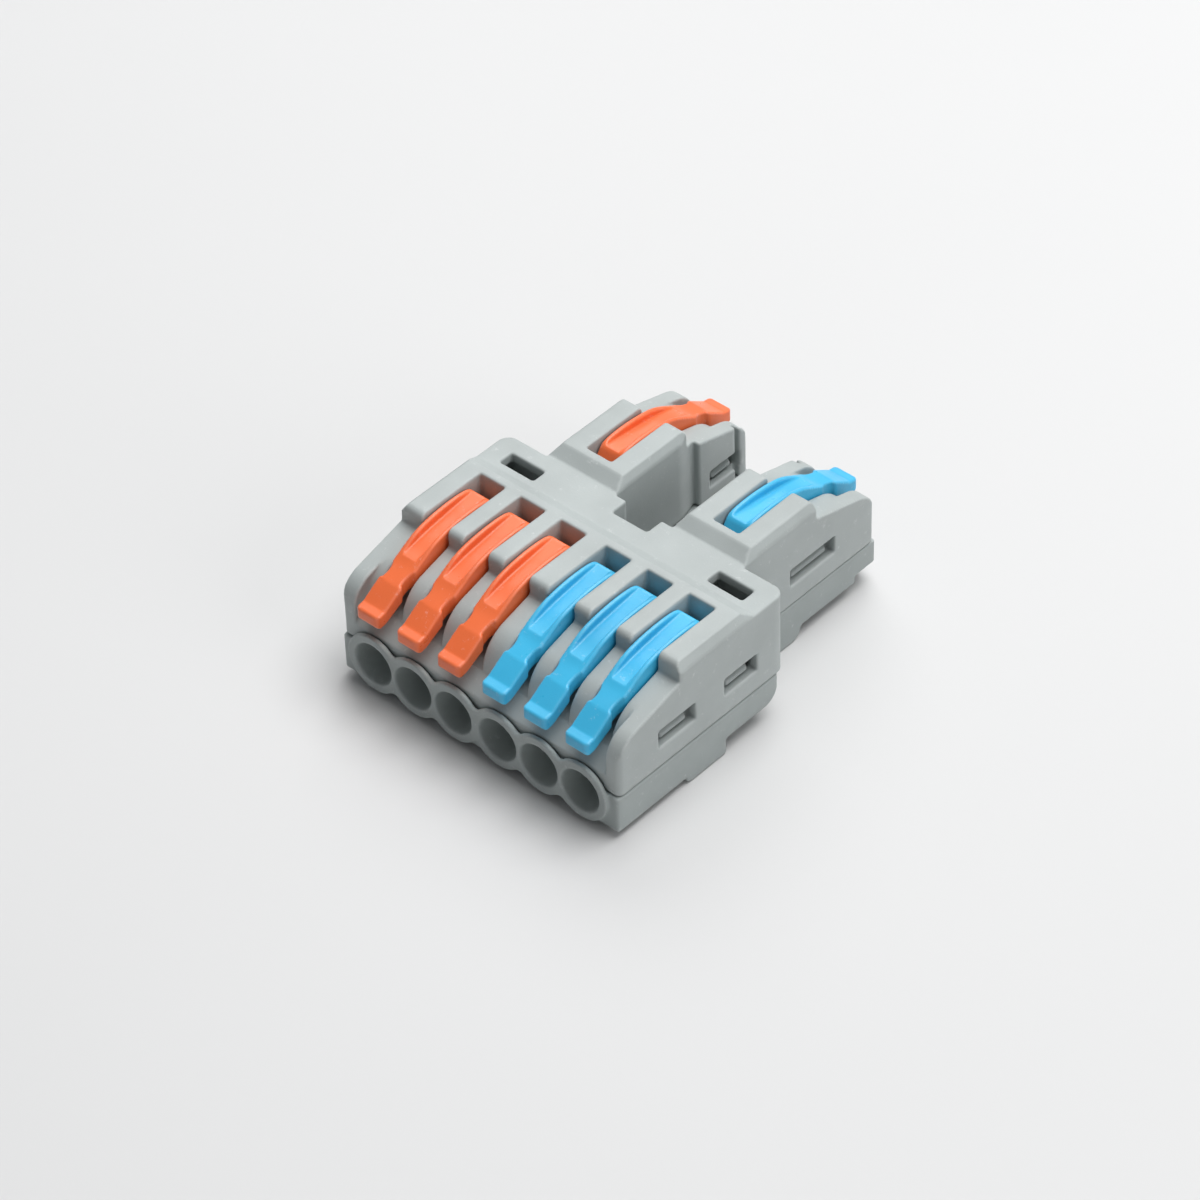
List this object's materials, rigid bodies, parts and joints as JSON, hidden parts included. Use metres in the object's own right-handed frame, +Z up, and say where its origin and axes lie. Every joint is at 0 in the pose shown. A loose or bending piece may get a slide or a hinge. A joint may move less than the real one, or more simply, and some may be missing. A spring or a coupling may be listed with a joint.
{
  "type": "lever wire connector",
  "caption": "Lever wire connector: flip-up levers clamp stripped wires in funnel-shaped ways at the front and rear, and join them in two separate poles.",
  "frame": {"origin": "centre of the bounding box's footprint, on the surface that the foot bars rest on", "axes": "+X across the row of front ways, towards the blue pole; +Y from the six-way side to the two-way side; +Z up, towards the levers"},
  "size_m": [0.034, 0.0432, 0.015],
  "materials": {
    "housing_grey": "fine satin moulded nylon",
    "base_grey": "fine satin moulded nylon",
    "lever_orange": "semi-gloss moulded nylon",
    "lever_blue": "semi-gloss moulded nylon",
    "spring_steel": "rolled stainless spring strip",
    "tinned_copper": "tin-plated copper, stamped"
  },
  "bodies": {
    "housing": {"upper_housing": "housing_grey", "base_housing": "base_grey", "busbar_orange_pole": "tinned_copper", "busbar_blue_pole": "tinned_copper", "clamp_spring_front_orange_1": "spring_steel", "clamp_spring_front_orange_2": "spring_steel", "clamp_spring_front_orange_3": "spring_steel", "clamp_spring_front_blue_1": "spring_steel", "clamp_spring_front_blue_2": "spring_steel", "clamp_spring_front_blue_3": "spring_steel", "clamp_spring_rear_orange": "spring_steel", "clamp_spring_rear_blue": "spring_steel"},
    "lever_front_orange_1": {"lever_front_orange_1": "lever_orange"},
    "lever_front_orange_2": {"lever_front_orange_2": "lever_orange"},
    "lever_front_orange_3": {"lever_front_orange_3": "lever_orange"},
    "lever_front_blue_1": {"lever_front_blue_1": "lever_blue"},
    "lever_front_blue_2": {"lever_front_blue_2": "lever_blue"},
    "lever_front_blue_3": {"lever_front_blue_3": "lever_blue"},
    "lever_rear_orange": {"lever_rear_orange": "lever_orange"},
    "lever_rear_blue": {"lever_rear_blue": "lever_blue"}
  },
  "joints": [
    {"name": "hinge_front_orange_1", "type": "hinge", "parent": "housing", "child": "lever_front_orange_1", "pos_m": [-0.01273, -0.00825, 0.0119], "axis": [-1, 0, 0], "range_deg": [0, 90], "deforming": ["clamp_spring_front_orange_1"]},
    {"name": "hinge_front_orange_2", "type": "hinge", "parent": "housing", "child": "lever_front_orange_2", "pos_m": [-0.00773, -0.00825, 0.0119], "axis": [-1, 0, 0], "range_deg": [0, 90], "deforming": ["clamp_spring_front_orange_2"]},
    {"name": "hinge_front_orange_3", "type": "hinge", "parent": "housing", "child": "lever_front_orange_3", "pos_m": [-0.00273, -0.00825, 0.0119], "axis": [-1, 0, 0], "range_deg": [0, 90], "deforming": ["clamp_spring_front_orange_3"]},
    {"name": "hinge_front_blue_1", "type": "hinge", "parent": "housing", "child": "lever_front_blue_1", "pos_m": [0.00273, -0.00825, 0.0119], "axis": [-1, 0, 0], "range_deg": [0, 90], "deforming": ["clamp_spring_front_blue_1"]},
    {"name": "hinge_front_blue_2", "type": "hinge", "parent": "housing", "child": "lever_front_blue_2", "pos_m": [0.00773, -0.00825, 0.0119], "axis": [-1, 0, 0], "range_deg": [0, 90], "deforming": ["clamp_spring_front_blue_2"]},
    {"name": "hinge_front_blue_3", "type": "hinge", "parent": "housing", "child": "lever_front_blue_3", "pos_m": [0.01273, -0.00825, 0.0119], "axis": [-1, 0, 0], "range_deg": [0, 90], "deforming": ["clamp_spring_front_blue_3"]},
    {"name": "hinge_rear_orange", "type": "hinge", "parent": "housing", "child": "lever_rear_orange", "pos_m": [-0.00773, 0.00825, 0.0119], "axis": [1, 0, 0], "range_deg": [0, 90], "deforming": ["clamp_spring_rear_orange"]},
    {"name": "hinge_rear_blue", "type": "hinge", "parent": "housing", "child": "lever_rear_blue", "pos_m": [0.00773, 0.00825, 0.0119], "axis": [1, 0, 0], "range_deg": [0, 90], "deforming": ["clamp_spring_rear_blue"]}
  ]
}
